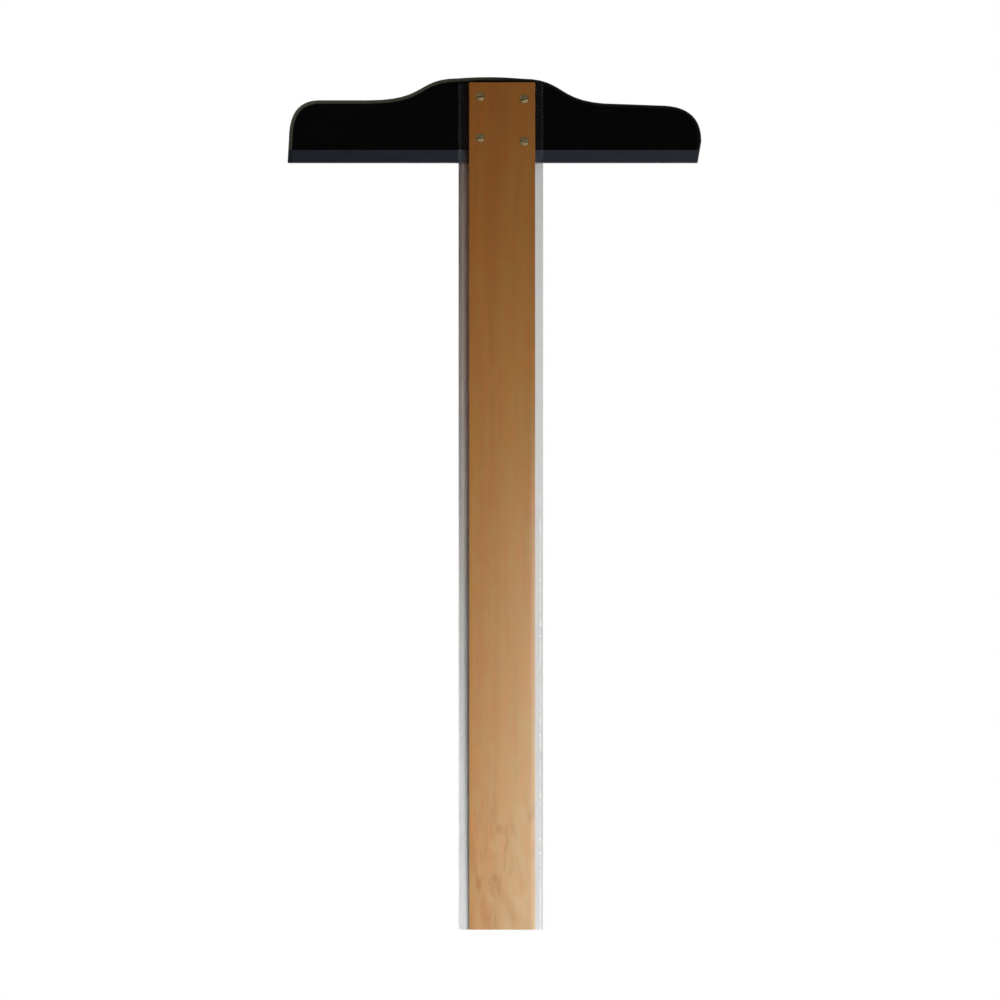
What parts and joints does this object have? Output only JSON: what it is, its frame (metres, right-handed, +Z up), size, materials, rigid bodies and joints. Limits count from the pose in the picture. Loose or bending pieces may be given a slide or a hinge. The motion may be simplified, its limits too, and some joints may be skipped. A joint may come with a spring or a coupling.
{
  "type": "t square",
  "caption": "T square for technical drawing: long thin hardwood blade with clear plastic drawing edges, screwed flat on a black wooden head with curved shoulders and a lined working edge.",
  "frame": {"origin": "where the blade's centre line crosses the head's working edge, level with the blade's underside, which is the corner that sits on the rim of a drawing board", "axes": "+Z up, towards the blade's upper side; +Y from the working edge back over the head, so the blade points along -Y; +X along the head, to the right when the blade points down the page"},
  "size_m": [0.2468, 0.5082, 0.0158],
  "materials": {
    "black_lacquer": "black lacquer on hardwood, satin",
    "edge_lining": "dark slate plastic lining, satin",
    "varnished_wood": "varnished fine-grained hardwood, satin",
    "clear_plastic": "clear, polished",
    "brass": "dull brass, slotted"
  },
  "bodies": {
    "root": {"head_stock": "black_lacquer", "working_edge_strip": "edge_lining", "blade_core": "varnished_wood", "clear_edge_left": "clear_plastic", "clear_edge_right": "clear_plastic", "screw_rear_left": "brass", "screw_rear_right": "brass", "screw_front_left": "brass", "screw_front_right": "brass"}
  },
  "joints": []
}
